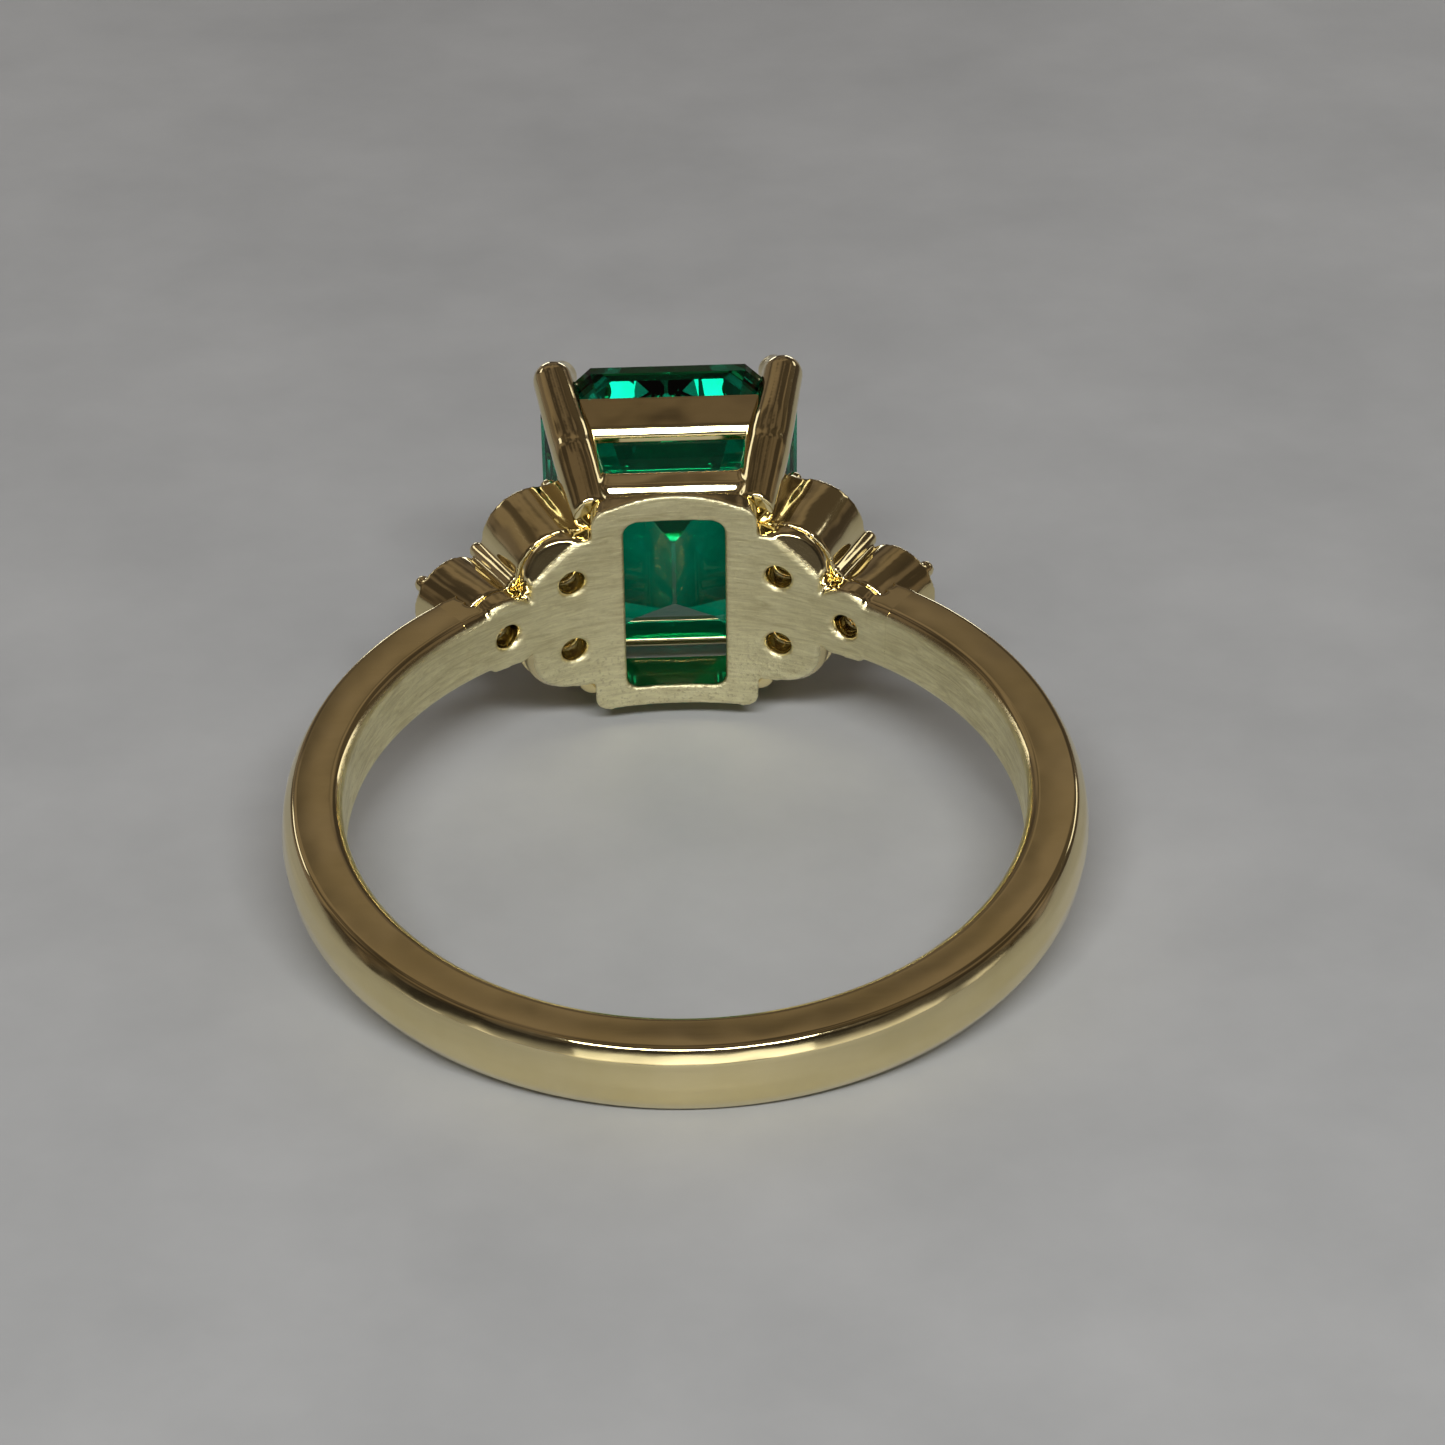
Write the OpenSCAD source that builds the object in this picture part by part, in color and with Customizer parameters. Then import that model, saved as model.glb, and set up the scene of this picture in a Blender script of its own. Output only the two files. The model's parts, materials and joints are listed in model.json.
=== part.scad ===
// Engagement ring: step-cut green centre stone in a four-claw basket, three small round stones
// in cups on each shoulder, on a slim band. It lies on its side, as if set down on a table.
// Units: millimetres. The ring is designed in its own frame, then laid down once by lay().
// Own frame: X across, +Y from the palm side to the head, Z along the finger.

/* [Finger] */
// radius of the finger hole
bore_r = 8.65; // [7:0.05:11.5]

/* [Band] */
// half height of the satin inner face
band_inner_half = 0.8; // [0.5:0.05:1.5]
// half height of the band at its sides
band_half = 1.0; // [0.6:0.05:2]
// width of the chamfer beside the inner face
band_comfort = 0.22; // [0.05:0.01:0.4]
// radial distance from the bore to the top of the side face
band_side_h = 1.33; // [0.8:0.01:2]
// radial distance from the bore to the crown's edge
band_bevel_h = 1.52; // [0.9:0.01:2.4]
// half height of the crown's edge
band_bevel_half = 0.53; // [0.2:0.01:1]
// radial distance from the bore to the crown
band_crown_h = 1.6; // [1:0.01:2.6]
// angle from the head at which the band ends
band_end_deg = 34.5; // [34:0.5:44]

/* [Bridge] */
// thickness of the plate under the head
plate_t = 0.65; // [0.4:0.05:1]
// half width of the plate's base
base_half_x = 2.22; // [1.8:0.01:2.8]
// distance from the middle to the square end of the plate's base
base_low_z = 3.4; // [2.8:0.01:4]
// distance from the middle to the top of the base's arched end
base_high_z = 3.59; // [2.8:0.01:4.2]
// radius of the arched end
base_arch_r = 5.25; // [3:0.05:12]
// corner radius of the square end
base_low_corner = 0.4; // [0.1:0.05:1]
// corner radius of the arched end
base_high_corner = 0.5; // [0.1:0.05:1]
// thickness of the lip at the arched end
base_lip_t = 0.2; // [0.1:0.05:0.6]
// half width of the window under the centre stone
window_half_x = 1.353; // [0.8:0.01:1.8]
// half height of the window
window_half_z = 2.78; // [2:0.01:3]
// corner radius of the window
window_corner_r = 0.35; // [0.1:0.05:0.8]
// radius of the light holes under the small stones
light_hole_r = 0.35; // [0.2:0.01:0.6]
// slope of the bevel under the inner cups, from the finger axis
underside_bevel_deg = 40; // [20:1:60]

/* [Cups] */
// angle round the band of the inner cups
cup_a_deg = 18.45; // [16:0.05:22]
// angle round the band of the outer cup
cup_b_deg = 31.15; // [28:0.05:34]
// lean of the inner cups from straight up
lean_a_deg = 25.5; // [15:0.5:35]
// lean of the outer cup from straight up
lean_b_deg = 39.5; // [30:0.5:50]
// half distance between the two inner cups
cup_a_z = 1.12; // [0.9:0.01:1.4]
// outside radius of the inner cups
cup_a_r = 1.35; // [1.1:0.01:1.6]
// outside radius of the outer cup
cup_b_r = 1.18; // [0.9:0.01:1.5]
// rim height of the inner cups above the bore
rim_a = 2.9; // [2.2:0.05:3.4]
// rim height of the outer cup above the bore
rim_b = 2.6; // [2:0.05:3.2]
// width of the flank that joins an inner cup to the basket
flank_w = 1.05; // [0.6:0.05:1.6]
// half height of the flank
flank_z = 2.4; // [1.8:0.05:2.8]

/* [Small stones] */
// girdle radius of the inner small stones
gem_a_r = 1.1; // [0.8:0.01:1.3]
// girdle radius of the outer small stone
gem_b_r = 0.98; // [0.7:0.01:1.1]
// depth of a small stone's girdle below its rim
gem_sink = 0.12; // [0:0.01:0.3]

/* [Small claws] */
// radius of the small claws
claw_r = 0.24; // [0.15:0.01:0.4]
// how far the small claws stand above the rims
claw_rise = 0.3; // [0.1:0.05:0.6]

/* [Basket] */
// height of the base rail's underside
base_rail_y = 9.4; // [9.35:0.01:10]
// height of the base rail
base_rail_h = 0.78; // [0.5:0.05:1.4]
// height of the upper rail's underside
upper_rail_y = 11.5; // [11:0.05:12]
// height of the upper rail
upper_rail_h = 1.05; // [0.6:0.05:1.4]
// wall of both rails
rail_wall = 0.42; // [0.3:0.01:0.7]
// chamfer on the lower outer edge of the base rail
base_rail_bevel = 0.18; // [0.05:0.01:0.4]
// chamfer on the lower outer edge of the upper rail
upper_rail_bevel = 0.18; // [0.05:0.01:0.4]
// radius of the four claws at their base
prong_base_r = 0.57; // [0.3:0.01:0.8]
// radius of the four claws at mid height
prong_mid_r = 0.65; // [0.3:0.01:0.8]
// radius of the four claws at the stone
prong_top_r = 0.55; // [0.3:0.01:0.8]
// radius of the claw tips
prong_tip_r = 0.46; // [0.3:0.01:0.7]

/* [Centre stone] */
// half width of the centre stone
stone_half_x = 3.5; // [3:0.05:4]
// half length of the centre stone
stone_half_z = 4.5; // [4:0.05:5]
// leg of the stone's cut corners
stone_corner = 1.4; // [0.8:0.05:2]
// height of the girdle's lower edge
girdle_y = 13.15; // [12.9:0.01:13.6]
// thickness of the girdle
girdle_t = 0.3; // [0.1:0.01:0.5]

/* [Hidden] */
$fn = 96;
eps = 0.01;
big = 30;
// thickness of a small stone's girdle
gem_girdle = 0.06;
// the lobes of the plate: radius at the foot, then where the cone to the full radius starts and ends
lobe_a_foot = [1.08, -0.1, 0.2];
lobe_b_foot = [1.0, -0.08, 0.12];
// countersink of the light holes
hole_sink = 0.12;
// length of the chamfered ends of the four claws
claw_toe = 0.2;
// fillet in the inner corners of the base rail
rail_fillet = 0.5;
// spare thickness and angle of the plate's ends before they are trimmed
strip_spare = 0.1;
strip_over_deg = 2;
// the claws between two cups: angles, lean and half heights at foot and tip
valley_deg = [27, 26];
valley_lean = 31;
valley_z = [1.15, 0.82];
// depth at which the small claws start, above the bore
claw_root = 0.3;
// offsets of the other small claws from their cup's axis
end_claw = [0.69, 0.62];
inner_claw = [-0.8, 0];
flank_claw = [-0.8, 2.1];
// the bevel under each inner cup on the front side: its middle and its half length
bevel_deg = 20.85;
bevel_mid_z = 1.9;
bevel_turn = 53;
bevel_half = 1.12;
plate_r = bore_r + plate_t;

// claw centreline, in the corner where X and Z are positive
claw_foot = [2.2, 9.06, 2.76];
claw_mid = [2.58, 11.0, 3.45];
claw_knee = [3.12, 13.42, 4.12];
claw_end = [2.93, 13.98, 3.87];

// rail outlines: half sizes at the bottom and at the top of each rail
base_rail_x = [2.36, 2.4];
base_rail_z = [3.33, 3.35];
upper_rail_x = [2.7, 3.12];
upper_rail_z = [3.74, 4.15];
// inset of the neck that joins the base rail to the plate
neck_inset = 0.2;

// stone profile: inset from the girdle line, height from the girdle edge
pavilion = [[0.75, -0.91], [1.65, -1.69], [2.6, -2.45], [3.45, -3.08]];
crown = [[0.45, 0.38], [0.9, 0.68], [1.35, 0.95]];

// the ring rests on the band's lower edge and on two claws
side_r = bore_r + band_side_h;
bevel_r = bore_r + band_bevel_h;
rest_y = claw_knee[1] + side_r;
rest_z = claw_knee[2] - band_half;
tilt = asin(prong_top_r / norm([rest_y, rest_z])) + atan2(rest_z, rest_y);
lift_z = side_r * sin(tilt) + band_half * cos(tilt);
y_low = -bevel_r * cos(tilt) - band_bevel_half * sin(tilt);
y_high = claw_end[1] * cos(tilt) + claw_end[2] * sin(tilt) + prong_tip_r;
shift_y = -(y_low + y_high) / 2;

metal = [0.83, 0.74, 0.5];
green = [0.02, 0.42, 0.27, 0.75];
clear = [0.9, 0.94, 0.98, 0.6];

// ---- placing ----

// lays the ring down from its own frame
module lay() {
    translate([0, shift_y, lift_z])
        rotate([tilt, 0, 0])
            children();
}

// moves a right-hand front piece to any shoulder: side -1 is left, face -1 is back
module at(side, face) {
    mirror([side < 0 ? 1 : 0, 0, 0])
        mirror([0, 0, face < 0 ? 1 : 0])
            children();
}

// puts children at an angle round the bore, with their Z along a lean from +Y towards +X
module on_bore(deg, lean, z) {
    translate([bore_r * sin(deg), bore_r * cos(deg), z])
        rotate([0, 0, -lean])
            rotate([-90, 0, 0])
                children();
}

// the point at tangent offset t, height z and length l along a cup's lean
function cup_pt(deg, lean, t, z, l) = [
    bore_r * sin(deg) + t * cos(lean) + l * sin(lean),
    bore_r * cos(deg) - t * sin(lean) + l * cos(lean),
    z
];

// a round taper from point a to point b
module limb(a, b, ra, rb) {
    v = b - a;
    translate(a)
        rotate([0, acos(v[2] / norm(v)), atan2(v[1], v[0])])
            cylinder(h = norm(v), r1 = ra, r2 = rb);
}

module ball(p, r) {
    translate(p)
        sphere(r = r);
}

// a profile in X and Y made into a prism along Z
module prism_z(half) {
    translate([0, 0, -half])
        linear_extrude(height = 2 * half)
            children();
}

// a profile in Z and Y made into a prism along X
module prism_x(half) {
    rotate([0, 90, 0])
        prism_z(half)
            children();
}

// a profile in X and Z made into a prism along +Y
module prism_y(h) {
    rotate([-90, 0, 0])
        linear_extrude(height = h)
            children();
}

module rounded(hx, hz, r) {
    square([2 * hx, 2 * (hz - r)], center = true);
    square([2 * (hx - r), 2 * hz], center = true);
    for (x = [-1, 1])
        for (z = [-1, 1])
            translate([x * (hx - r), z * (hz - r)])
                circle(r = r);
}

// ---- band ----

module band_profile() {
    polygon([
        [bore_r, -band_inner_half],
        [bore_r + band_comfort, -band_half],
        [side_r, -band_half],
        [bevel_r, -band_bevel_half],
        [bore_r + band_crown_h, 0],
        [bevel_r, band_bevel_half],
        [side_r, band_half],
        [bore_r + band_comfort, band_half],
        [bore_r, band_inner_half]
    ]);
}

module shank_solid() {
    difference() {
        rotate([0, 0, 90 + band_end_deg])
            rotate_extrude(angle = 360 - 2 * band_end_deg, $fn = 240)
                band_profile();
        for (side = [-1, 1])
            at(side, 1)
                difference() {
                    cup_b_body();
                    plate_cylinder();
                }
    }
}

// everything inside the plate's outer surface
module plate_cylinder() {
    cylinder(h = big, r = plate_r, center = true, $fn = 240);
}

// ---- plate under the head ----

// the base seen from the finger, arched at its +Z end: an outline's Y runs towards -Z
module base_outline() {
    arch_z = base_high_z - base_arch_r;
    low_z = base_low_z - base_low_corner;
    high_x = base_half_x - base_high_corner;
    high_z = arch_z + sqrt(base_arch_r * base_arch_r - high_x * high_x) - base_high_corner;
    clip_x = high_x + base_high_corner / 6;
    translate([-base_half_x, -high_z])
        square([2 * base_half_x, high_z + low_z]);
    translate([-base_half_x + base_low_corner, 0])
        square([2 * (base_half_x - base_low_corner), base_low_z]);
    intersection() {
        translate([0, -arch_z])
            circle(r = base_arch_r, $fn = 360);
        translate([-clip_x, -big])
            square([2 * clip_x, big]);
    }
    for (x = [-1, 1]) {
        translate([x * high_x, -high_z])
            circle(r = base_high_corner);
        translate([x * (base_half_x - base_low_corner), low_z])
            circle(r = base_low_corner);
    }
}

// a round lobe of the plate, tapered where it meets the bore
module lobe(foot, r) {
    translate([0, 0, -1])
        cylinder(h = 1 + foot[1], r = foot[0]);
    translate([0, 0, foot[1]])
        cylinder(h = foot[2] - foot[1], r1 = foot[0], r2 = r);
    translate([0, 0, foot[2]])
        cylinder(h = 1, r = r);
}

module lobe_a() {
    on_bore(cup_a_deg, cup_a_deg, cup_a_z)
        lobe(lobe_a_foot, cup_a_r);
    on_bore(cup_a_deg, cup_a_deg, 0)
        translate([-flank_w, -flank_z, -0.5])
            cube([flank_w, flank_z, 1.5]);
}

// the outer lobe, flush with the band on its lower side
module lobe_b() {
    intersection() {
        on_bore(cup_b_deg, cup_b_deg, 0)
            lobe(lobe_b_foot, cup_b_r);
        translate([0, 0, -band_half])
            cube(big);
    }
}

// the narrow ends of the plate, a little over thick, to be trimmed to the plate
module bridge_strip() {
    slope = (band_half - band_inner_half) / band_comfort;
    foot_z = band_inner_half - strip_spare * slope;
    rotate([0, 0, 90 - band_end_deg - strip_over_deg])
        rotate_extrude(angle = 2 * (band_end_deg + strip_over_deg), $fn = 240)
            polygon([
                [bore_r - strip_spare, -foot_z],
                [bore_r + band_comfort, -band_half],
                [plate_r + strip_spare, -band_half],
                [plate_r + strip_spare, band_half],
                [bore_r + band_comfort, band_half],
                [bore_r - strip_spare, foot_z]
            ]);
}

module plate_blank() {
    intersection() {
        difference() {
            cylinder(h = 2 * base_high_z + 1, r = plate_r, center = true, $fn = 240);
            cylinder(h = big, r = bore_r, center = true, $fn = 240);
        }
        union() {
            prism_y(plate_r + 1)
                base_outline();
            for (side = [-1, 1])
                for (face = [-1, 1])
                    at(side, face)
                        lobe_a();
            for (side = [-1, 1])
                at(side, 1)
                    lobe_b();
            bridge_strip();
        }
        head_sector();
    }
}

// the sector round the head between the two ends of the band
module head_sector() {
    end_x = big * sin(band_end_deg);
    end_y = big * cos(band_end_deg);
    prism_z(big / 2)
        polygon([[0, 0], [end_x, end_y], [0, 2 * big], [-end_x, end_y]]);
}

// what is cut away above the lip of the arched end, at 45 degrees
module arch_relief() {
    low_y = bore_r;
    high_y = plate_r + base_lip_t;
    prism_x(base_half_x + 1)
        polygon([
            [-base_high_z - base_lip_t, low_y],
            [-base_high_z + plate_t, high_y],
            [-base_high_z - 1, high_y],
            [-base_high_z - 1, low_y]
        ]);
}

// the bevel cut under an inner cup
module underside_bevel() {
    on_bore(bevel_deg, bevel_deg, bevel_mid_z)
        rotate([0, 0, -bevel_turn])
            rotate([0, -underside_bevel_deg, 0])
                translate([0, -bevel_half, -2])
                    cube([2, 2 * bevel_half, 2]);
}

// one light hole, countersunk on the finger side
module light_hole() {
    translate([0, 0, -1])
        cylinder(h = 3, r = light_hole_r);
    translate([0, 0, -hole_sink])
        cylinder(h = 2 * hole_sink, r1 = light_hole_r + hole_sink, r2 = light_hole_r);
}

module light_holes() {
    for (side = [-1, 1])
        for (face = [-1, 1])
            at(side, face)
                on_bore(cup_a_deg, lean_a_deg, cup_a_z)
                    light_hole();
    for (side = [-1, 1])
        at(side, 1)
            on_bore(cup_b_deg, lean_b_deg, 0)
                light_hole();
}

module bridge_solid() {
    difference() {
        plate_blank();
        prism_y(plate_r + 1)
            rounded(window_half_x, window_half_z, window_corner_r);
        light_holes();
        arch_relief();
        for (side = [-1, 1])
            at(side, 1)
                underside_bevel();
    }
}

// ---- basket ----

// side view of a flared block, chamfered at its lower edge
module flared_side(halves, y, h, bevel) {
    polygon([
        [-halves[0] + bevel, y],
        [halves[0] - bevel, y],
        [halves[0], y + bevel],
        [halves[1], y + h],
        [-halves[1], y + h],
        [-halves[0], y + bevel]
    ]);
}

// a four-sided block whose half sizes change from its bottom to its top
module flared(xs, zs, y, h, bevel) {
    intersection() {
        prism_z(big / 2)
            flared_side(xs, y, h, bevel);
        prism_x(big / 2)
            flared_side(zs, y, h, bevel);
    }
}

module base_rail_block() {
    flared(base_rail_x, base_rail_z, base_rail_y, base_rail_h, base_rail_bevel);
}

module upper_rail_block() {
    flared(upper_rail_x, upper_rail_z, upper_rail_y, upper_rail_h, upper_rail_bevel);
}

// the rail's outline inset by a wall
module rail_opening(wall, corner) {
    rounded(base_rail_x[0] - wall, base_rail_z[0] - wall, corner);
}

// the base rail and its neck, without their opening
module base_rail_outer() {
    base_rail_block();
    prism_y(base_rail_y + eps)
        rail_opening(neck_inset, base_rail_bevel);
}

module base_rail_solid() {
    difference() {
        base_rail_outer();
        prism_y(big)
            rail_opening(rail_wall, rail_fillet);
        plate_cylinder();
    }
}

module upper_rail_solid() {
    rise_x = (upper_rail_x[1] - upper_rail_x[0]) * eps / upper_rail_h;
    rise_z = (upper_rail_z[1] - upper_rail_z[0]) * eps / upper_rail_h;
    difference() {
        upper_rail_block();
        flared([upper_rail_x[0] - rail_wall - rise_x, upper_rail_x[1] - rail_wall + rise_x],
            [upper_rail_z[0] - rail_wall - rise_z, upper_rail_z[1] - rail_wall + rise_z],
            upper_rail_y - eps, upper_rail_h + 2 * eps, 0);
        stone_solid();
    }
}

module claw_body() {
    toe = claw_foot + [0, claw_toe, 0];
    limb(claw_foot, toe, prong_base_r - claw_toe, prong_base_r);
    ball(toe, prong_base_r * 0.99);
    limb(toe, claw_mid, prong_base_r, prong_mid_r);
    ball(claw_mid, prong_mid_r * 1.01);
    limb(claw_mid, claw_knee, prong_mid_r, prong_top_r);
    ball(claw_knee, prong_top_r * 1.01);
    limb(claw_knee, claw_end, prong_top_r * 0.99, prong_tip_r);
    ball(claw_end, prong_tip_r * 1.01);
}

module claw_solid() {
    difference() {
        claw_body();
        plate_cylinder();
        base_rail_outer();
        upper_rail_block();
        stone_solid();
    }
}

// ---- centre stone ----

// half the side view of the stone, mirrored: half is the distance from its middle to the girdle
module step_profile(half) {
    low = [for (p = pavilion) [half - p[0], girdle_y + p[1]]];
    high = [for (p = crown) [half - p[0], girdle_y + girdle_t + p[1]]];
    right = concat(
        [for (i = [len(low) - 1 : -1 : 0]) low[i]],
        [[half, girdle_y], [half, girdle_y + girdle_t]],
        high
    );
    left = [for (i = [len(right) - 1 : -1 : 0]) [-right[i][0], right[i][1]]];
    polygon(concat(right, left));
}

module stone_solid() {
    corner_half = (stone_half_x + stone_half_z - stone_corner) / sqrt(2);
    intersection() {
        prism_z(stone_half_z + 1)
            step_profile(stone_half_x);
        prism_x(stone_half_z + 1)
            step_profile(stone_half_z);
        rotate([0, 45, 0])
            prism_z(2 * stone_half_z)
                step_profile(corner_half);
        rotate([0, -45, 0])
            prism_z(2 * stone_half_z)
                step_profile(corner_half);
    }
}

// ---- cups and their stones ----

// the hollow of a cup: light hole, stone seat and rim
module cup_hollow(rim, gem_r) {
    seat = rim - gem_sink - gem_girdle;
    translate([0, 0, -1])
        cylinder(h = rim, r = light_hole_r);
    translate([0, 0, seat - gem_r])
        cylinder(h = gem_r, r1 = light_hole_r, r2 = gem_r);
    translate([0, 0, seat - eps])
        cylinder(h = 1, r = gem_r);
}

module cup_a_body() {
    on_bore(cup_a_deg, lean_a_deg, 0)
        linear_extrude(height = rim_a)
            intersection() {
                union() {
                    translate([0, -cup_a_z])
                        circle(r = cup_a_r);
                    translate([-flank_w, -flank_z])
                        square([flank_w, flank_z]);
                }
                translate([-3, -6])
                    square([6, 6]);
            }
}

// the outer cup, turned so that its seam is clear of the band's crown
module cup_b_body() {
    on_bore(cup_b_deg, lean_b_deg, 0)
        rotate([0, 0, 90])
            cylinder(h = rim_b, r = cup_b_r);
}

module cup_a_solid() {
    difference() {
        cup_a_body();
        plate_cylinder();
        on_bore(cup_a_deg, lean_a_deg, cup_a_z)
            cup_hollow(rim_a, gem_a_r);
        cup_b_body();
        base_rail_outer();
        small_claws();
    }
}

module cup_b_solid() {
    difference() {
        cup_b_body();
        plate_cylinder();
        on_bore(cup_b_deg, lean_b_deg, 0)
            cup_hollow(rim_b, gem_b_r);
        small_claws();
    }
}

// a round stone with its girdle's lower edge at zero
module round_stone(r, sides) {
    translate([0, 0, -0.84 * r])
        cylinder(h = 0.84 * r, r1 = 0, r2 = r, $fn = sides);
    cylinder(h = gem_girdle, r = r, $fn = sides);
    translate([0, 0, gem_girdle])
        cylinder(h = 0.33 * r, r1 = r, r2 = 0.58 * r, $fn = sides);
}

module stone_a(sides) {
    on_bore(cup_a_deg, lean_a_deg, cup_a_z)
        translate([0, 0, rim_a - gem_sink - gem_girdle])
            round_stone(gem_a_r - eps, sides);
}

module stone_b(sides) {
    on_bore(cup_b_deg, lean_b_deg, 0)
        translate([0, 0, rim_b - gem_sink - gem_girdle])
            round_stone(gem_b_r - eps, sides);
}

// ---- small claws ----

module small_claw(a, b) {
    limb(a, b, claw_r, claw_r);
    ball(b, claw_r * 1.01);
}

// the seven small claws of the right shoulder
module small_claws() {
    for (face = [-1, 1])
        at(1, face) {
            small_claw(cup_pt(valley_deg[0], valley_lean, 0, valley_z[0], claw_root),
                cup_pt(valley_deg[1], valley_lean, 0, valley_z[1], rim_a));
            small_claw(cup_pt(cup_b_deg, lean_b_deg, end_claw[0], end_claw[1], claw_root),
                cup_pt(cup_b_deg, lean_b_deg, end_claw[0], end_claw[1], rim_b + claw_rise / 2));
            small_claw(cup_pt(cup_a_deg, lean_a_deg, flank_claw[0], flank_claw[1], claw_root),
                cup_pt(cup_a_deg, lean_a_deg, flank_claw[0], flank_claw[1], rim_a + claw_rise / 2));
        }
    small_claw(cup_pt(cup_a_deg, lean_a_deg, inner_claw[0], inner_claw[1], claw_root),
        cup_pt(cup_a_deg, lean_a_deg, inner_claw[0], inner_claw[1], rim_a + claw_rise / 2));
}

module small_claws_solid() {
    difference() {
        small_claws();
        plate_cylinder();
        for (face = [-1, 1])
            at(1, face)
                stone_a(96);
        stone_b(96);
    }
}

// ---- nodes ----

module shank() { color(metal) lay() shank_solid(); }
module gallery_bridge() { color(metal) lay() bridge_solid(); }
module basket_base_rail() { color(metal) lay() base_rail_solid(); }
module basket_upper_rail() { color(metal) lay() upper_rail_solid(); }
module claw_front_left() { color(metal) lay() at(-1, 1) claw_solid(); }
module claw_front_right() { color(metal) lay() at(1, 1) claw_solid(); }
module claw_back_left() { color(metal) lay() at(-1, -1) claw_solid(); }
module claw_back_right() { color(metal) lay() at(1, -1) claw_solid(); }
module centre_stone() { color(green) lay() stone_solid(); }
module cup_left_front() { color(metal) lay() at(-1, 1) cup_a_solid(); }
module cup_left_back() { color(metal) lay() at(-1, -1) cup_a_solid(); }
module cup_left_outer() { color(metal) lay() at(-1, 1) cup_b_solid(); }
module cup_right_front() { color(metal) lay() at(1, 1) cup_a_solid(); }
module cup_right_back() { color(metal) lay() at(1, -1) cup_a_solid(); }
module cup_right_outer() { color(metal) lay() at(1, 1) cup_b_solid(); }
module stone_left_front() { color(clear) lay() at(-1, 1) stone_a(16); }
module stone_left_back() { color(clear) lay() at(-1, -1) stone_a(16); }
module stone_left_outer() { color(clear) lay() at(-1, 1) stone_b(16); }
module stone_right_front() { color(clear) lay() at(1, 1) stone_a(16); }
module stone_right_back() { color(clear) lay() at(1, -1) stone_a(16); }
module stone_right_outer() { color(clear) lay() at(1, 1) stone_b(16); }
module small_claws_left() { color(metal) lay() at(-1, 1) small_claws_solid(); }
module small_claws_right() { color(metal) lay() at(1, 1) small_claws_solid(); }

shank();
gallery_bridge();
basket_base_rail();
basket_upper_rail();
claw_front_left();
claw_front_right();
claw_back_left();
claw_back_right();
centre_stone();
cup_left_front();
cup_left_back();
cup_left_outer();
cup_right_front();
cup_right_back();
cup_right_outer();
stone_left_front();
stone_left_back();
stone_left_outer();
stone_right_front();
stone_right_back();
stone_right_outer();
small_claws_left();
small_claws_right();
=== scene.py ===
"""Looks for the engagement ring: it lies on a pale floor, seen from the palm side and above."""

import json
import math

import bmesh
import bpy
import numpy as np
from mathutils import Matrix, Vector


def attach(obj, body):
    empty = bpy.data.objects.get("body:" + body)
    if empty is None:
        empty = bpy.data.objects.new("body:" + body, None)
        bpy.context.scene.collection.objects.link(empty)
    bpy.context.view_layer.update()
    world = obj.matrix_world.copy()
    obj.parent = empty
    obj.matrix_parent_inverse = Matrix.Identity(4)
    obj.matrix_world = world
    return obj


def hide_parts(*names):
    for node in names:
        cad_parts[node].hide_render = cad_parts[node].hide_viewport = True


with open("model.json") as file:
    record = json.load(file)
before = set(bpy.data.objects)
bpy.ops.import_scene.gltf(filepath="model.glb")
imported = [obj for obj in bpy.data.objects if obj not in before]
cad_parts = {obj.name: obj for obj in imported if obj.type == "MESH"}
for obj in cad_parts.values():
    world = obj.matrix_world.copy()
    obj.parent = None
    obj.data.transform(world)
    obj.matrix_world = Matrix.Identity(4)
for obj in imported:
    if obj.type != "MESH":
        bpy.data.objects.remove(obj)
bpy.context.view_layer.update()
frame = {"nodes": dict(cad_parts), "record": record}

MM = 0.001

# ---- the ring's own frame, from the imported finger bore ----
# X across, +Y from the palm to the head, Z along the finger; design sizes are in millimetres

BORE = next(m for m in frame["record"]["mounts"] if m["name"] == "finger_bore")
BORE_R = BORE["dims"]["r_mm"]
AXIS = Vector(BORE["axis"]).normalized()
CENTRE = Vector(BORE["pos_m"])
TURN = Matrix((Vector((1, 0, 0)), AXIS.cross(Vector((1, 0, 0))), AXIS)).transposed()
TO_ROW = Matrix.Translation(CENTRE) @ TURN.to_4x4() @ Matrix.Scale(MM, 4)


def in_ring(points):
    """Row-frame points in metres, as ring-frame points in millimetres."""
    return (np.asarray(points, float) - np.array(CENTRE)) @ np.array(TURN) / MM


def in_row(points):
    """Ring-frame points in millimetres, as row-frame points in metres."""
    return np.asarray(points, float) @ np.array(TURN).T * MM + np.array(CENTRE)


# ---- mesh helpers ----

# in metres: what counts as one vertex, and what counts as on the cutting plane
WELD = 0.5e-6
ON_PLANE = 1e-8

# depth behind the bore's face, in mm, over which the satin face gives way to polish
SATIN_FROM, SATIN_TO = 0.05, 0.14


def link(name, data):
    ob = bpy.data.objects.new(name, data)
    bpy.context.scene.collection.objects.link(ob)
    return ob


def new_object(name, verts, faces, smooth=True):
    mesh = bpy.data.meshes.new(name)
    mesh.from_pydata([tuple(v) for v in verts], [], [tuple(f) for f in faces])
    mesh.validate()
    mesh.update()
    mesh.polygons.foreach_set("use_smooth", [smooth] * len(mesh.polygons))
    return link(name, mesh)


def ring_points(ob):
    """An object's vertices in the ring's frame."""
    co = np.zeros(len(ob.data.vertices) * 3)
    ob.data.vertices.foreach_get("co", co)
    return in_ring(co.reshape(-1, 3))


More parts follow.
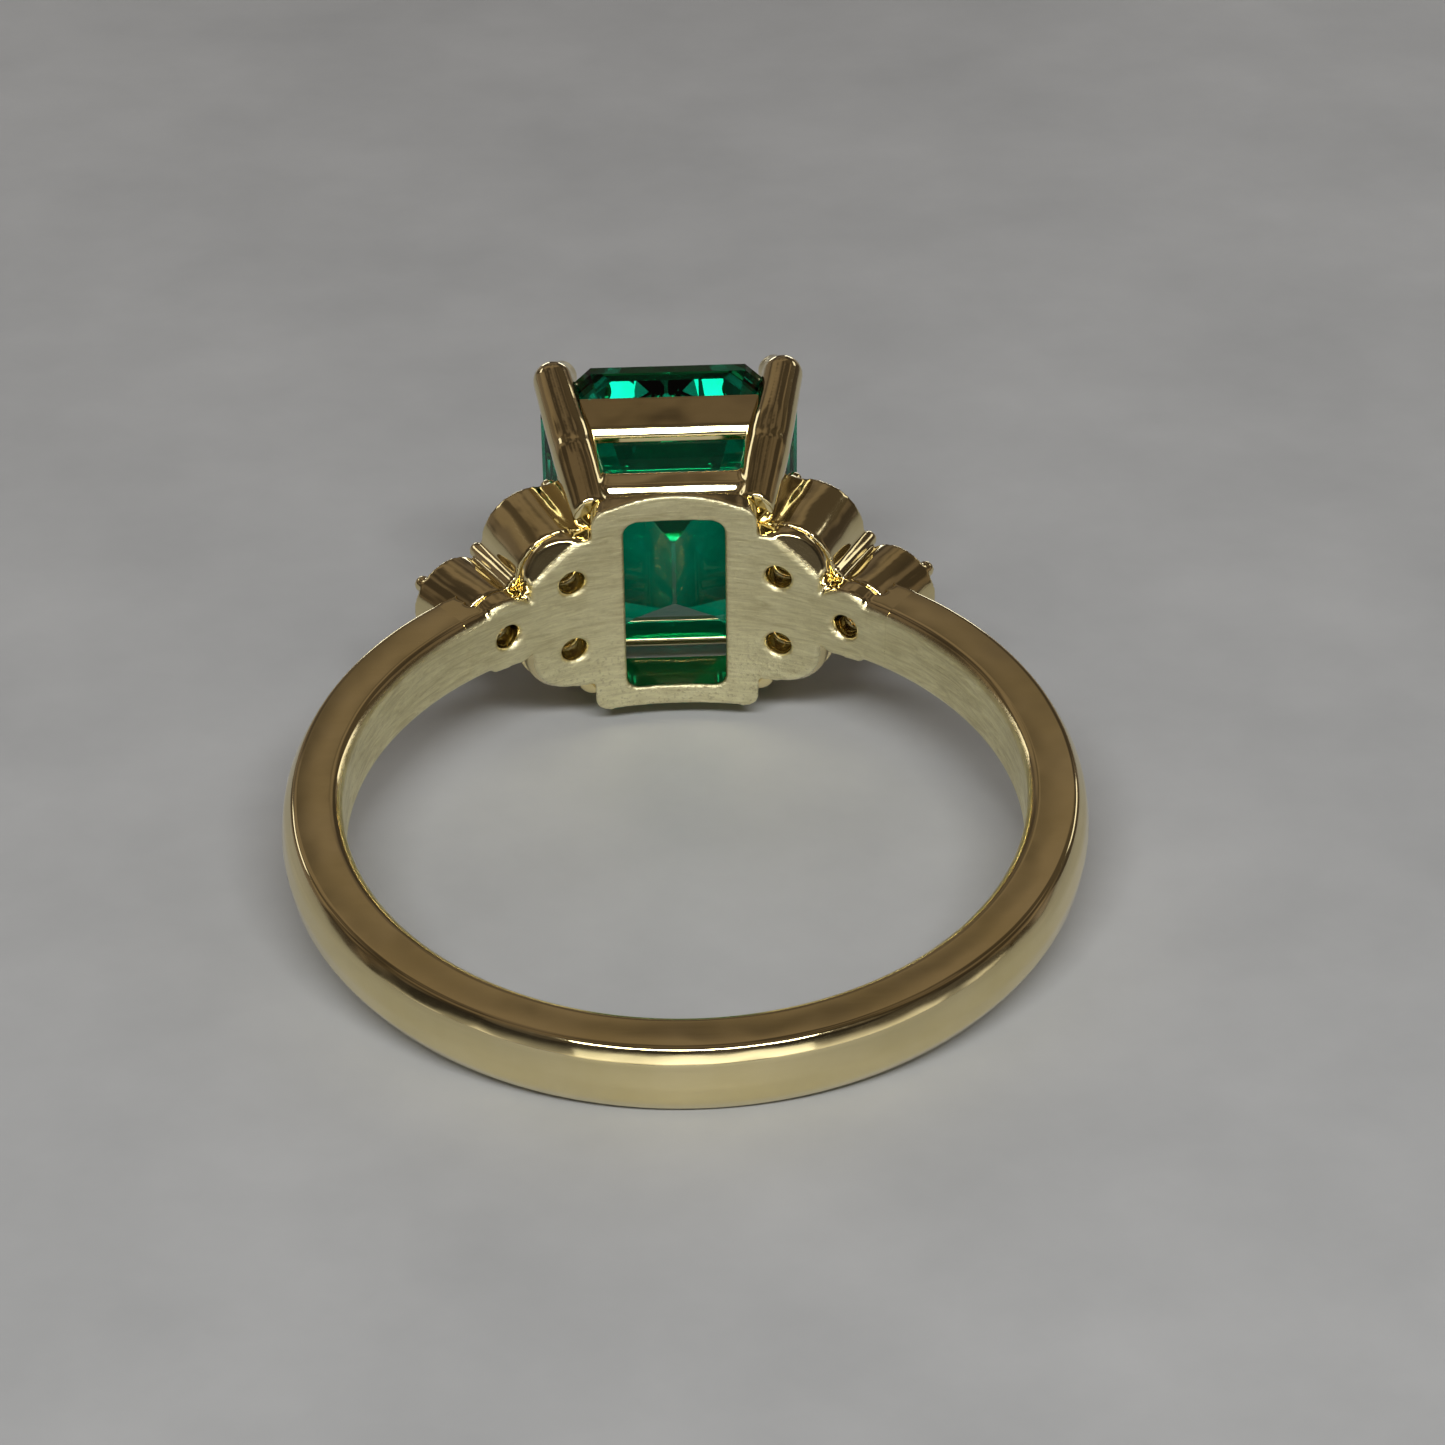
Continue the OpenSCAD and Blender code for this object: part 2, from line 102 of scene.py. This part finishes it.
def apply_modifiers(ob):
    bpy.context.view_layer.update()
    graph = bpy.context.evaluated_depsgraph_get()
    mesh = bpy.data.meshes.new_from_object(ob.evaluated_get(graph))
    ob.modifiers.clear()
    old = ob.data
    ob.data = mesh
    bpy.data.meshes.remove(old)
    mesh.name = ob.name


def edit_mesh(mesh, change):
    """Makes a change to a mesh as a bmesh."""
    bm = bmesh.new()
    bm.from_mesh(mesh)
    change(bm)
    bm.to_mesh(mesh)
    bm.free()


def crop(bm, half_deg):
    """Keeps what lies within an angle of the head, and caps the two cuts with flat faces."""
    a = math.radians(half_deg)
    for side in (-1, 1):
        geom = bm.verts[:] + bm.edges[:] + bm.faces[:]
        normal = TURN @ Vector((side * math.cos(a), -math.sin(a), 0))
        cut = bmesh.ops.bisect_plane(
            bm, geom=geom, dist=ON_PLANE, plane_co=CENTRE, plane_no=normal, clear_outer=True)
        edges = [e for e in cut["geom_cut"] if isinstance(e, bmesh.types.BMEdge)]
        for edge in edges:
            edge.smooth = False
        for face in bmesh.ops.holes_fill(bm, edges=edges, sides=0)["faces"]:
            face.smooth = False


def node_mesh(names, half_deg=None):
    """The welded meshes of CAD nodes as one bmesh, cropped to the head where an angle is given."""
    bm = bmesh.new()
    for n in names:
        part = bmesh.new()
        part.from_mesh(frame["nodes"][n].data)
        bmesh.ops.remove_doubles(part, verts=part.verts, dist=WELD)
        if half_deg:
            crop(part, half_deg)
        mesh = bpy.data.meshes.new("part")
        part.to_mesh(mesh)
        part.free()
        bm.from_mesh(mesh)
        bpy.data.meshes.remove(mesh)
    return bm


def soften(ob, rounds, group=""):
    smooth = ob.modifiers.new("soften", "SMOOTH")
    smooth.factor = 0.5
    smooth.iterations = rounds
    smooth.vertex_group = group
    apply_modifiers(ob)


def cast(name, bm, voxel_mm, rounds, shape=None):
    """One smooth cast piece: its parts are fused, shaped and their edges softened."""
    mesh = bpy.data.meshes.new(name)
    bm.to_mesh(mesh)
    bm.free()
    # the remesh works on millimetres, where its sizes are well scaled
    mesh.transform(Matrix.Scale(1 / MM, 4))
    ob = link(name, mesh)
    fuse = ob.modifiers.new("fuse", "REMESH")
    fuse.mode = "VOXEL"
    fuse.voxel_size = voxel_mm
    fuse.use_smooth_shade = True
    apply_modifiers(ob)
    ob.data.transform(Matrix.Scale(MM, 4))
    if shape:
        shape(ob)
    soften(ob, rounds)
    ob.data.polygons.foreach_set("use_smooth", [True] * len(ob.data.polygons))
    return ob


def mark_finish(ob):
    """Stores each vertex's share of the satin face on the bore, and its place in the ring."""
    p = ring_points(ob)
    depth = np.hypot(p[:, 0], p[:, 1]) - BORE_R
    satin = np.clip((SATIN_TO - depth) / (SATIN_TO - SATIN_FROM), 0, 1)
    layer = ob.data.attributes.new("satin", "FLOAT", "POINT")
    layer.data.foreach_set("value", satin.astype(np.float32))
    layer = ob.data.attributes.new("place", "FLOAT_VECTOR", "POINT")
    layer.data.foreach_set("vector", p.astype(np.float32).ravel())


# ---- materials ----

GOLD = (0.86, 0.74, 0.43, 1)
GOLD_DEEP = (0.78, 0.66, 0.34, 1)
SATIN = (1.0, 0.94, 0.61, 1)
SATIN_DARK = (0.58, 0.51, 0.28, 1)
FLOOR_DARK = (0.45, 0.465, 0.475, 1)
FLOOR_LIGHT = (0.53, 0.545, 0.555, 1)

# height in mm of the slow waves that hand polishing leaves: the band is truer than the head
HEAD_WAVES = 0.16
BAND_WAVES = 0.06
# the finer ripple's height as a share of the waves'
RIPPLE_SHARE = 0.09
BUMP_STRENGTH = 0.7
# along the finger, in mm, where the satin face starts to be sandy and lighter with painted light,
# and where it is fully so
SANDY_AND_LIT_FROM, SANDY_AND_LIT_TO = -0.6, -2.2


class Nodes:
    """A short way to write a node tree."""

    def __init__(self, name):
        self.mat = bpy.data.materials.new(name)
        self.mat.use_nodes = True
        self.tree = self.mat.node_tree
        self.bsdf = self.tree.nodes["Principled BSDF"]

    def node(self, kind, inputs=(), **settings):
        n = self.tree.nodes.new(kind)
        for k, v in settings.items():
            setattr(n, k, v)
        for k, v in dict(inputs).items():
            self.put(v, n.inputs[k])
        return n

    def put(self, value, socket):
        if isinstance(value, bpy.types.NodeSocket):
            self.tree.links.new(value, socket)
        else:
            socket.default_value = value

    def surface(self, **values):
        """Sets or links the shader's own sockets, written with _ for each space."""
        for k, v in values.items():
            self.put(v, self.bsdf.inputs[k.replace("_", " ")])

    def attribute(self, name):
        return self.node("ShaderNodeAttribute", attribute_name=name).outputs

    def stretch(self, vector, scale):
        m = self.node("ShaderNodeMapping", {"Vector": vector, "Scale": tuple(scale)})
        return m.outputs["Vector"]

    def coords(self, scale=(1, 1, 1)):
        """Object coordinates in millimetres, stretched by scale."""
        tc = self.node("ShaderNodeTexCoord")
        return self.stretch(tc.outputs["Object"], [s / MM for s in scale])

    def noise(self, vector, scale, detail, rough, warp=0.0):
        n = self.node("ShaderNodeTexNoise", {
            "Vector": vector, "Scale": scale, "Detail": detail,
            "Roughness": rough, "Distortion": warp})
        return n.outputs["Fac"]

    def ramp(self, fac, low, high, a=0.0, b=1.0):
        n = self.node("ShaderNodeMapRange", {
            "Value": fac, "From Min": low, "From Max": high, "To Min": a, "To Max": b})
        n.clamp = True
        return n.outputs["Result"]

    def blend(self, kind, share, a, b):
        """A Mix node on colours (RGBA) or vectors (VECTOR)."""
        n = self.node("ShaderNodeMix", data_type=kind)
        sides = [s for s in n.inputs if s.type == kind and s.name in ("A", "B")]
        self.put(share, n.inputs["Factor"])
        self.put(a, sides[0])
        self.put(b, sides[1])
        return next(s for s in n.outputs if s.type == kind)

    def mix(self, share, a, b):
        return self.blend("RGBA", share, a, b)

    def blend_normals(self, share, a, b):
        mixed = self.blend("VECTOR", share, a, b)
        return self.node(
            "ShaderNodeVectorMath", {0: mixed}, operation="NORMALIZE").outputs["Vector"]

    def math(self, op, a, b):
        n = self.node("ShaderNodeMath", operation=op)
        self.put(a, n.inputs[0])
        self.put(b, n.inputs[1])
        return n.outputs["Value"]

    def add(self, *values):
        total = values[0]
        for v in values[1:]:
            total = self.math("ADD", total, v)
        return total

    def times(self, a, b):
        return self.math("MULTIPLY", a, b)

    def bump(self, relief):
        """The normal of a relief given in millimetres."""
        n = self.node("ShaderNodeBump", {
            "Height": relief, "Strength": BUMP_STRENGTH, "Distance": MM})
        return n.outputs["Normal"]


def polish(t, waves):
    """Colour, roughness and relief of hand-polished gold. Waves is the height of its unevenness."""
    p = t.coords()
    cloud = t.noise(p, 0.35, 4, 0.55)
    scuff = t.noise(t.coords((0.6, 9, 9)), 1.2, 4, 0.6)
    colour = t.mix(t.ramp(cloud, 0.3, 0.7), GOLD, GOLD_DEEP)
    rough = t.add(t.ramp(scuff, 0.35, 0.75, 0.0, 0.05), t.ramp(cloud, 0.3, 0.75, 0.04, 0.10))
    swell = t.noise(p, 0.45, 1, 0.4)
    ripple = t.noise(p, 1.3, 1, 0.4)
    relief = t.add(t.times(swell, waves), t.times(ripple, RIPPLE_SHARE * waves))
    return colour, rough, relief


def satin(t):
    """Colour, roughness and relief of the brushed face, sandier and lighter with painted light
    towards the plate's lower end.
    """
    place = t.attribute("place")["Vector"]
    z = t.node("ShaderNodeSeparateXYZ", {"Vector": place}).outputs["Z"]
    # how sandy the face is, and how far painted light lightens it: both grow towards the plate's
    # lower end
    sandy_and_lit = t.ramp(z, SANDY_AND_LIT_FROM, SANDY_AND_LIT_TO)
    broad = t.noise(t.stretch(place, (0.8, 0.8, 1.3)), 1.0, 3, 0.5, 0.8)
    stroke = t.noise(t.stretch(place, (0.7, 0.7, 5.0)), 1.0, 6, 0.65, 1.6)
    hair = t.noise(t.stretch(place, (1.8, 1.8, 22.0)), 1.0, 4, 0.65, 1.2)
    pits = t.noise(place, 9.0, 3, 0.6)
    grain = t.noise(place, 24.0, 2, 0.6)
    # the brushing terms vary the tone at random; the last term is painted light, lighter towards
    # the plate's lower end
    worn_and_lit = t.add(
        t.times(t.ramp(stroke, 0.36, 0.62), 0.45),
        t.times(t.ramp(broad, 0.30, 0.62), 0.25),
        t.times(t.ramp(hair, 0.35, 0.65), 0.15),
        t.times(sandy_and_lit, 0.25))
    tone = t.mix(worn_and_lit, SATIN_DARK, SATIN)
    pitted = t.times(t.ramp(pits, 0.55, 0.68), t.ramp(sandy_and_lit, 0, 1, 0.25, 0.75))
    tone = t.mix(pitted, tone, SATIN_DARK)
    rough = t.add(t.ramp(stroke, 0.25, 0.75, 0.44, 0.28), t.ramp(grain, 0.3, 0.7, -0.03, 0.06))
    relief = t.add(
        t.times(broad, 0.06), t.times(stroke, 0.05), t.times(hair, 0.016),
        t.times(pits, t.ramp(sandy_and_lit, 0, 1, 0.01, 0.06)),
        t.times(grain, t.ramp(sandy_and_lit, 0, 1, 0.004, 0.02)))
    return tone, rough, relief


def gold_material(name, waves, with_satin):
    t = Nodes(name)
    colour, rough, relief = polish(t, waves)
    normal = t.bump(relief)
    if with_satin:
        share = t.attribute("satin")["Fac"]
        rest = t.math("SUBTRACT", 1.0, share)
        tone, dull, brushed = satin(t)
        colour = t.mix(share, colour, tone)
        rough = t.add(t.times(rough, rest), t.times(dull, share))
        normal = t.blend_normals(share, normal, t.bump(brushed))
    t.surface(Base_Color=colour, Roughness=rough, Normal=normal, Metallic=1.0)
    return t.mat


def gem_material(name, light, dark, ior):
    """Clear cut stone, whose colour clouds slightly through it."""
    t = Nodes(name)
    cloud = t.noise(t.coords(), 0.5, 4, 0.6)
    t.surface(Base_Color=t.mix(t.ramp(cloud, 0.35, 0.65), light, dark),
        Roughness=0.0, IOR=ior, Transmission_Weight=1.0)
    return t.mat


def floor_material():
    t = Nodes("floor")
    cloud = t.noise(t.coords(), 0.12, 5, 0.6)
    t.surface(Base_Color=t.mix(t.ramp(cloud, 0.3, 0.7), FLOOR_DARK, FLOOR_LIGHT), Roughness=0.5)
    return t.mat


POLISHED = gold_material("polished_gold", HEAD_WAVES, with_satin=False)
BODY_GOLD = gold_material("cast_gold", BAND_WAVES, with_satin=True)
EMERALD = gem_material(
    "emerald", light=(0.004, 0.56, 0.31, 1), dark=(0.001, 0.38, 0.20, 1), ior=1.58)
CLEAR = gem_material(
    "clear_stone", light=(0.97, 0.98, 1.0, 1), dark=(0.92, 0.95, 0.98, 1), ior=2.2)


def dress(ob, material, slot, *nodes):
    """Gives a piece its material, hides the CAD nodes it stands for, and hangs it from the root
    body.
    """
    ob.data.materials.clear()
    ob.data.materials.append(material)
    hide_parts(*nodes)
    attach(ob, "root")


# ---- band ----

# half widths, and heights above the bore, from the satin face outwards to the crown
BAND_INNER_HALF = 0.8
BAND_HALF = 1.0
BAND_COMFORT_H = 0.22
BAND_SIDE_H = 1.33
BAND_BEVEL_H = 1.52
BAND_BEVEL_HALF = 0.53
BAND_CROWN_H = 1.6
# wear of the bevels away from the head: its sizes, where it starts and over what angle it grows
WEAR_SIDE = 0.06
WEAR_BEVEL = 0.03
WEAR_FROM_DEG = 46.0
WEAR_OVER_DEG = 40.0
# how far the softened edges reach from each corner, and from the satin face's two corners
EDGE_R = 0.14
SATIN_EDGE_R = 0.1
CORNER_STEPS = 6
# an edge is rounded over at most this share of each side that meets in it
MAX_ROUNDED = 0.45
# the satin face's own rows of vertices, and how far out they go: short of the rounded corners
SATIN_ROWS = 8
SATIN_ROWS_REACH = 0.75
# the plate's piece takes in the band's ends up to this angle, so that the satin face has no seam
JOIN_DEG = 39.7
RINGS = 420


def rounded_path(corners, radii):
    """A closed path with each corner rounded by its radius."""
    out = []
    n = len(corners)
    for i, (c, r) in enumerate(zip(corners, radii)):
        c = np.array(c, float)
        a = np.array(corners[i - 1], float) - c
        b = np.array(corners[(i + 1) % n], float) - c
        la, lb = np.linalg.norm(a), np.linalg.norm(b)
        a, b = a / la, b / lb
        d = min(r, la * MAX_ROUNDED, lb * MAX_ROUNDED)
        for t in np.linspace(0, 1, CORNER_STEPS):
            out.append((1 - t) ** 2 * (c + a * d) + 2 * t * (1 - t) * c + t * t * (c + b * d))
    return np.array(out)


def band_profile(wear):
    """The band's outline. Wear, from 0 to 1, lays its bevels flatter."""
    ih, h = BAND_INNER_HALF, BAND_HALF
    side_h = BAND_SIDE_H - WEAR_SIDE * wear
    bevel_half = BAND_BEVEL_HALF + WEAR_BEVEL * wear
    corners = [
        (0, -ih), (BAND_COMFORT_H, -h), (side_h, -h), (BAND_BEVEL_H, -bevel_half),
        (BAND_CROWN_H, 0),
        (BAND_BEVEL_H, bevel_half), (side_h, h), (BAND_COMFORT_H, h), (0, ih),
    ]
    radii = [SATIN_EDGE_R] + [EDGE_R] * (len(corners) - 2) + [SATIN_EDGE_R]
    reach = ih * SATIN_ROWS_REACH
    inner = [(0, z) for z in np.linspace(reach, -reach, SATIN_ROWS)]
    return np.vstack([rounded_path(corners, radii), inner])


def make_shank():
    rings = []
    for deg in np.linspace(JOIN_DEG, 360 - JOIN_DEG, RINGS):
        from_head = min(deg, 360 - deg)
        wear = min(max((from_head - WEAR_FROM_DEG) / WEAR_OVER_DEG, 0.0), 1.0)
        profile = band_profile(wear * wear * (3 - 2 * wear))
        a = math.radians(90 + deg)
        radius = BORE_R + profile[:, 0]
        rings.append(np.column_stack([radius * math.cos(a), radius * math.sin(a), profile[:, 1]]))
    n = len(rings[0])
    faces = []
    for i in range(RINGS - 1):
        for j in range(n):
            k = (j + 1) % n
            faces.append((i * n + j, i * n + k, (i + 1) * n + k, (i + 1) * n + j))
    faces.append(tuple(range(n))[::-1])
    faces.append(tuple((RINGS - 1) * n + j for j in range(n)))
    ob = new_object("shank_piece", in_row(np.vstack(rings)), faces)
    caps = ob.data.polygons[-2:]
    for cap in caps:
        cap.use_smooth = False
    rim = {tuple(sorted(key)) for cap in caps for key in cap.edge_keys}
    for edge in ob.data.edges:
        edge.use_edge_sharp = tuple(sorted(edge.key)) in rim
    mark_finish(ob)
    dress(ob, BODY_GOLD, "polished_gold", "shank")


# ---- head ----

# each cast piece's voxel size in mm, and its rounds of smoothing
PLATE_CAST = (0.045, 14)
BASKET_CAST = (0.046, 15)
RAIL_CAST = (0.045, 4)
CUPS_CAST = (0.044, 13)

# the plate is cast this much past its join, and then cropped back to a clean cut
SPARE_DEG = 3

# where the claws bend, how far the bend is spread, and how much their line and radius turn there
BEND_Y = 11.0
BEND_REACH = 0.8
BEND_SLOPE = 0.12
WAIST_SLOPE = 0.09
# the claws' lean in X and Z for each mm up, and how near the bend their middle is measured
CLAW_SLOPE_X = 0.22
CLAW_SLOPE_Z = 0.34
BEND_NEAR = 0.1
# the extra smoothing round the bend: its rounds, and how steeply its weight rises
CLAW_ROUNDS = 40
CLAW_WEIGHT = 6


def make_plate():
    bm = node_mesh(["gallery_bridge", "shank"], JOIN_DEG + SPARE_DEG)
    ob = cast("bridge_piece", bm, *PLATE_CAST)
    edit_mesh(ob.data, lambda whole: crop(whole, JOIN_DEG))
    mark_finish(ob)
    dress(ob, BODY_GOLD, "satin_gold", "gallery_bridge")


def ease_claws(ob):
    """Turns the claws' bend and the change of their taper into smooth curves."""
    p = ring_points(ob)
    off = p[:, 1] - BEND_Y
    bulge = np.clip(BEND_REACH - np.abs(off), 0, None) ** 2 / (4 * BEND_REACH)
    for sx in (-1, 1):
        for sz in (-1, 1):
            own = (p[:, 0] * sx > 0) & (p[:, 2] * sz > 0) & (bulge > 0)
            middle = np.median(p[own & (np.abs(off) < BEND_NEAR)], axis=0)
            slope = np.array([CLAW_SLOPE_X * sx, 0, CLAW_SLOPE_Z * sz])
            out = p - (middle + np.outer(off, slope))
            out[:, 1] = 0
            out /= np.maximum(np.linalg.norm(out, axis=1), 1e-6)[:, None]
            shift = -WAIST_SLOPE * out - BEND_SLOPE * np.array([0, 0, sz])
            p[own] += (shift * bulge[:, None])[own]
    ob.data.vertices.foreach_set("co", in_row(p).ravel())
    ob.data.update()
    group = ob.vertex_groups.new(name="waist")
    for i in np.nonzero(bulge > 0)[0]:
        group.add([int(i)], min(1.0, CLAW_WEIGHT * bulge[i] / BEND_REACH), "REPLACE")
    soften(ob, CLAW_ROUNDS, "waist")


def make_castings():
    claws = [f"claw_{end}_{side}" for end in ("front", "back") for side in ("left", "right")]
    pieces = [
        ("basket_piece", ["basket_base_rail"] + claws, BASKET_CAST, ease_claws),
        ("upper_rail_piece", ["basket_upper_rail"], RAIL_CAST, None),
    ]
    for side in ("left", "right"):
        cups = [f"cup_{side}_{which}" for which in ("front", "back", "outer")]
        pieces.append((f"cups_{side}_piece", cups + [f"small_claws_{side}"], CUPS_CAST, None))
    for name, nodes, settings, shape in pieces:
        dress(cast(name, node_mesh(nodes), *settings, shape), POLISHED, "polished_gold", *nodes)


# ---- stones ----

LEAN_INNER_DEG, LEAN_OUTER_DEG = 25.5, 39.5

# a brilliant's proportions: radii as shares of its own, heights as shares of crown and pavilion
TABLE_R = 0.57
STAR_R, STAR_UP = 0.80, 0.55
LOWER_R, LOWER_DOWN = 0.24, 0.78
# a vertex this near the stone's full radius is on its girdle
GIRDLE_SHARE = 0.98


def brilliant(r, up, down, belt):
    """A brilliant cut round the Z axis, its girdle's lower edge at zero: vertices and faces."""
    def ring(radius, z, count, shift):
        turn = [2 * math.pi * (k + shift) / count for k in range(count)]
        return [(radius * math.cos(a), radius * math.sin(a), z) for a in turn]

    verts = ring(TABLE_R * r, belt + up, 8, 0) + ring(STAR_R * r, belt + STAR_UP * up, 8, 0.5)
    verts += ring(r, belt, 16, 0) + ring(r, 0, 16, 0)
    verts += ring(LOWER_R * r, -LOWER_DOWN * down, 8, 0.5) + [(0, 0, -down)]
    # where each ring of vertices starts
    table, star, high, low, pavilion, culet = 0, 8, 16, 32, 48, 56
    faces = [tuple(range(table, table + 8))]
    for k in range(8):
        before, after = (k - 1) % 8, (k + 1) % 8
        g0, g1, g2 = 2 * k, 2 * k + 1, (2 * k + 2) % 16
        faces += [(table + k, star + k, table + after)]
        faces += [(table + k, star + before, high + g0, star + k)]
        faces += [(star + k, high + g0, high + g1), (star + k, high + g1, high + g2)]
        faces += [(high + g0, low + g0, low + g1, high + g1)]
        faces += [(high + g1, low + g1, low + g2, high + g2)]
        faces += [(low + g0, pavilion + k, low + g1), (low + g1, pavilion + k, low + g2)]
        faces += [(low + g0, pavilion + before, culet, pavilion + k)]
    return verts, faces


def make_small_stone(name, ob):
    """A brilliant in the place of a CAD stone, sized and placed by that stone's mesh."""
    side = -1 if "left" in name else 1
    lean = math.radians(LEAN_OUTER_DEG if "outer" in name else LEAN_INNER_DEG)
    axis = np.array([side * math.sin(lean), math.cos(lean), 0.0])
    p = ring_points(ob)
    height = p @ axis
    flat = p - np.outer(height, axis)
    centre = (flat.max(axis=0) + flat.min(axis=0)) / 2
    reach = np.linalg.norm(flat - centre, axis=1)
    r = reach.max()
    girdle = height[reach > GIRDLE_SHARE * r]
    low, high = girdle.min(), girdle.max()
    verts, faces = brilliant(r, height.max() - high, low - height.min(), high - low)
    across = np.cross(axis, [0, 0, 1.0])
    turn = np.array([across, np.cross(axis, across), axis])
    verts = np.array(verts) @ turn + centre + axis * low
    piece = new_object(f"{name}_cut", in_row(verts), faces, smooth=False)
    edit_mesh(piece.data, lambda bm: bmesh.ops.recalc_face_normals(bm, faces=bm.faces))
    dress(piece, CLEAR, "clear_stone", name)


def finish_stones():
    stone = frame["nodes"]["centre_stone"]
    stone.data.polygons.foreach_set("use_smooth", [False] * len(stone.data.polygons))
    stone.data.materials.clear()
    stone.data.materials.append(EMERALD)
    for name, ob in list(frame["nodes"].items()):
        if name.startswith("stone_"):
            make_small_stone(name, ob)


# ---- stage ----

# the photograph's camera, in the ring's frame: millimetres and degrees
CAMERA_AT = (-1.689, -87.773, 73.482)
CAMERA_YAW = 1.73549
CAMERA_PITCH = 38.81087
CAMERA_ROLL = -0.64459
CAMERA_LENS = 112.1
CAMERA_SENSOR = 36.0
CAMERA_CLIP = 0.005

FLOOR_HALF = 1.5

WARM = (1.0, 0.97, 0.94)
WHITE = (1.0, 0.995, 0.985)
COOL = (0.97, 0.99, 1.0)

# name, azimuth and elevation in degrees, distance and size in metres, power in watts, colour
LIGHTS = (
    ("key", 0, 48, 0.30, (0.26, 0.045), 0.74, WHITE),
    ("window", 0, 7, 0.45, (0.50, 0.07), 0.10, WHITE),
    ("left", -130, 27, 0.50, (0.14, 0.08), 0.045, WARM),
    ("right", 130, 27, 0.50, (0.14, 0.08), 0.045, WARM),
    ("back_left", -167, 6, 0.40, (0.09, 0.06), 0.05, COOL),
    ("back_right", 167, 6, 0.40, (0.09, 0.06), 0.05, COOL),
)

# colours from the horizon beyond the ring, over the top, to the horizon behind the camera
SKY = (
    (0.00, (0.13, 0.11, 0.10, 1)),
    (0.10, (0.085, 0.068, 0.058, 1)),
    (0.21, (0.080, 0.063, 0.052, 1)),
    (0.27, (0.125, 0.098, 0.072, 1)),
    (0.34, (0.120, 0.092, 0.068, 1)),
    (0.40, (0.080, 0.062, 0.048, 1)),
    (0.56, (0.085, 0.064, 0.047, 1)),
    (0.72, (0.055, 0.045, 0.037, 1)),
    (0.84, (0.040, 0.034, 0.030, 1)),
    (0.93, (0.050, 0.044, 0.040, 1)),
    (0.965, (0.42, 0.40, 0.37, 1)),
    (1.00, (0.48, 0.46, 0.43, 1)),
)

# soft patches in the sky, as of the things in a room: their size, and the strength they map to
PATCH_SCALE = 3.2
PATCH_DETAIL = 1.0
PATCH_RANGE = {"From Min": 0.45, "From Max": 0.57, "To Min": 0.60, "To Max": 1.7}


def make_camera():
    yaw, pitch, roll = (math.radians(a) for a in (CAMERA_YAW, CAMERA_PITCH, CAMERA_ROLL))
    level = math.cos(pitch)
    ahead = Vector((math.sin(yaw) * level, math.cos(yaw) * level, -math.sin(pitch)))
    right = Vector((math.cos(yaw), -math.sin(yaw), 0))
    up = right.cross(ahead)
    c, s = math.cos(roll), math.sin(roll)
    right, up = c * right + s * up, c * up - s * right
    turn = TURN @ Matrix((right, up, -ahead)).transposed()
    data = bpy.data.cameras.new("camera")
    data.sensor_width = CAMERA_SENSOR
    data.lens = CAMERA_LENS
    data.clip_start = CAMERA_CLIP
    camera = link("camera", data)
    camera.matrix_world = Matrix.Translation(TO_ROW @ Vector(CAMERA_AT)) @ turn.to_4x4()
    bpy.context.scene.camera = camera


def make_floor():
    corners = [(-1, -1), (1, -1), (1, 1), (-1, 1)]
    verts = [(x * FLOOR_HALF, y * FLOOR_HALF, 0) for x, y in corners]
    ob = new_object("floor", verts, [(0, 1, 2, 3)])
    ob.data.materials.append(floor_material())


def area_light(name, azimuth, elevation, distance, size, power, colour):
    """A soft panel that faces the ring. Azimuth 0 is behind the camera and runs towards +X."""
    a, e = math.radians(azimuth), math.radians(elevation)
    at = distance * Vector((math.sin(a) * math.cos(e), -math.cos(a) * math.cos(e), math.sin(e)))
    data = bpy.data.lights.new(name, "AREA")
    data.shape = "RECTANGLE"
    data.size, data.size_y = size
    data.energy = power
    data.color = colour
    ob = link(name, data)
    ob.location = at
    ob.rotation_euler = (-at).to_track_quat("-Z", "Y").to_euler()
    ob.visible_camera = False


def make_world():
    world = bpy.data.worlds.new("studio")
    bpy.context.scene.world = world
    world.use_nodes = True
    tree = world.node_tree
    back = tree.nodes["Background"]
    tc = tree.nodes.new("ShaderNodeTexCoord")
    sep = tree.nodes.new("ShaderNodeSeparateXYZ")
    tree.links.new(tc.outputs["Generated"], sep.inputs[0])
    turn = tree.nodes.new("ShaderNodeMath")
    turn.operation = "ARCTAN2"
    tree.links.new(sep.outputs["Z"], turn.inputs[0])
    tree.links.new(sep.outputs["Y"], turn.inputs[1])
    share = tree.nodes.new("ShaderNodeMath")
    share.operation = "DIVIDE"
    share.inputs[1].default_value = math.pi
    tree.links.new(turn.outputs[0], share.inputs[0])
    ramp = tree.nodes.new("ShaderNodeValToRGB")
    stops = ramp.color_ramp.elements
    for i, (at, colour) in enumerate(SKY):
        stop = stops[0] if i == 0 else stops[-1] if i == len(SKY) - 1 else stops.new(at)
        stop.position = at
        stop.color = colour
    tree.links.new(share.outputs[0], ramp.inputs["Fac"])
    cloud = tree.nodes.new("ShaderNodeTexNoise")
    cloud.inputs["Scale"].default_value = PATCH_SCALE
    cloud.inputs["Detail"].default_value = PATCH_DETAIL
    tree.links.new(tc.outputs["Generated"], cloud.inputs["Vector"])
    patch = tree.nodes.new("ShaderNodeMapRange")
    for key, value in PATCH_RANGE.items():
        patch.inputs[key].default_value = value
    tree.links.new(cloud.outputs["Fac"], patch.inputs["Value"])
    tree.links.new(ramp.outputs["Color"], back.inputs["Color"])
    tree.links.new(patch.outputs["Result"], back.inputs["Strength"])


def make_stage():
    make_camera()
    make_floor()
    make_world()
    for light in LIGHTS:
        area_light(*light)
    bpy.context.scene.view_settings.view_transform = "Standard"


make_stage()
make_shank()
make_plate()
make_castings()
finish_stones()
